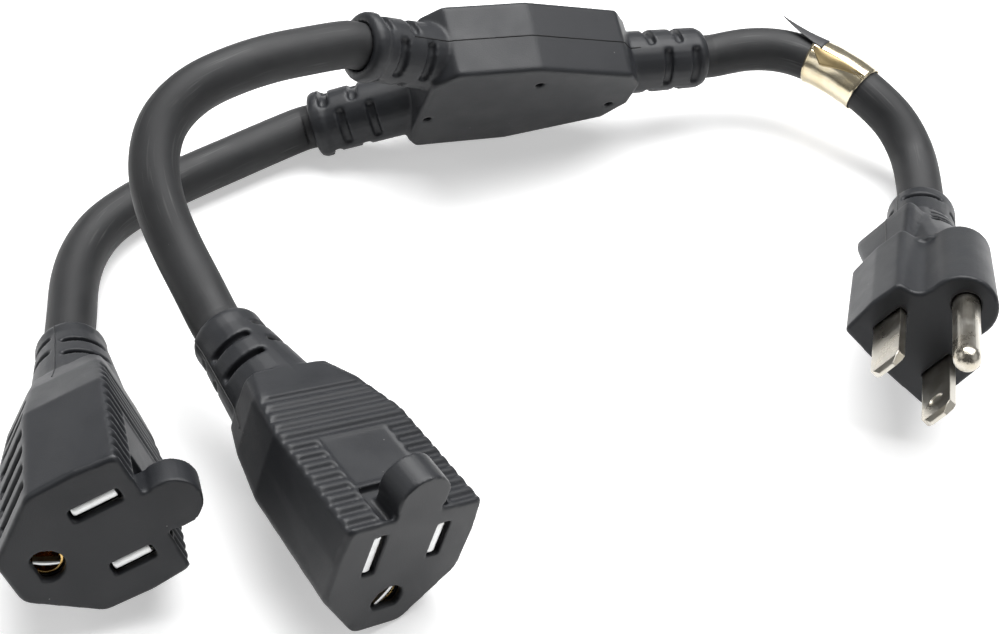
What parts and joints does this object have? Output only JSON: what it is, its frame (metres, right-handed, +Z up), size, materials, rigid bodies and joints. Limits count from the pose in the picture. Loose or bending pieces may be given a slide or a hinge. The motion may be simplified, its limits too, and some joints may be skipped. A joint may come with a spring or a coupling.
{
  "type": "power cord splitter",
  "caption": "Short grounded power cord splitter: a three-pin plug on a cord, a moulded junction block, and two cords that each end in a three-hole socket.",
  "frame": {"origin": "middle of the bounding box of the plug, junction and sockets, on the surface they lie on", "axes": "+Z up; +X from the sockets' side towards the plug; +Y from the sockets towards the junction block"},
  "size_m": [0.1808, 0.1612, 0.0459],
  "materials": {
    "carrier_plastic": "matte",
    "contact_brass": "bright",
    "cord_jacket": "satin",
    "crimp_tin": "dull tin plating",
    "label_foil": "pale gold metallic film",
    "moulded_pvc": "satin, fine mould texture",
    "nickel_silver": "polished strip",
    "wire_black": "smooth",
    "wire_green": "smooth",
    "wire_white": "smooth"
  },
  "bodies": {
    "root": {"plug_body": "moulded_pvc", "plug_pin_carrier": "carrier_plastic", "plug_neutral_blade": "nickel_silver", "plug_line_blade": "nickel_silver", "plug_ground_pin": "nickel_silver", "plug_ground_wire": "wire_green", "plug_neutral_wire": "wire_white", "plug_line_wire": "wire_black", "socket_a_body": "moulded_pvc", "socket_a_contact_carrier": "carrier_plastic", "socket_a_neutral_contact": "nickel_silver", "socket_a_line_contact": "nickel_silver", "socket_a_ground_contact": "contact_brass", "socket_a_ground_wire": "wire_green", "socket_a_line_wire": "wire_black", "socket_a_neutral_wire": "wire_white", "socket_b_body": "moulded_pvc", "socket_b_contact_carrier": "carrier_plastic", "socket_b_neutral_contact": "nickel_silver", "socket_b_line_contact": "nickel_silver", "socket_b_ground_contact": "contact_brass", "socket_b_ground_wire": "wire_green", "socket_b_line_wire": "wire_black", "socket_b_neutral_wire": "wire_white", "junction_body": "moulded_pvc", "junction_crimp_carrier": "carrier_plastic", "junction_ground_crimp": "crimp_tin", "junction_single_ground_wire": "wire_green", "junction_near_ground_wire": "wire_green", "junction_far_ground_wire": "wire_green", "junction_line_crimp": "crimp_tin", "junction_single_line_wire": "wire_black", "junction_near_line_wire": "wire_black", "junction_far_line_wire": "wire_black", "junction_neutral_crimp": "crimp_tin", "junction_single_neutral_wire": "wire_white", "junction_near_neutral_wire": "wire_white", "junction_far_neutral_wire": "wire_white", "plug_cord": "cord_jacket", "socket_a_cord": "cord_jacket", "socket_b_cord": "cord_jacket", "rating_label": "label_foil"}
  },
  "joints": []
}
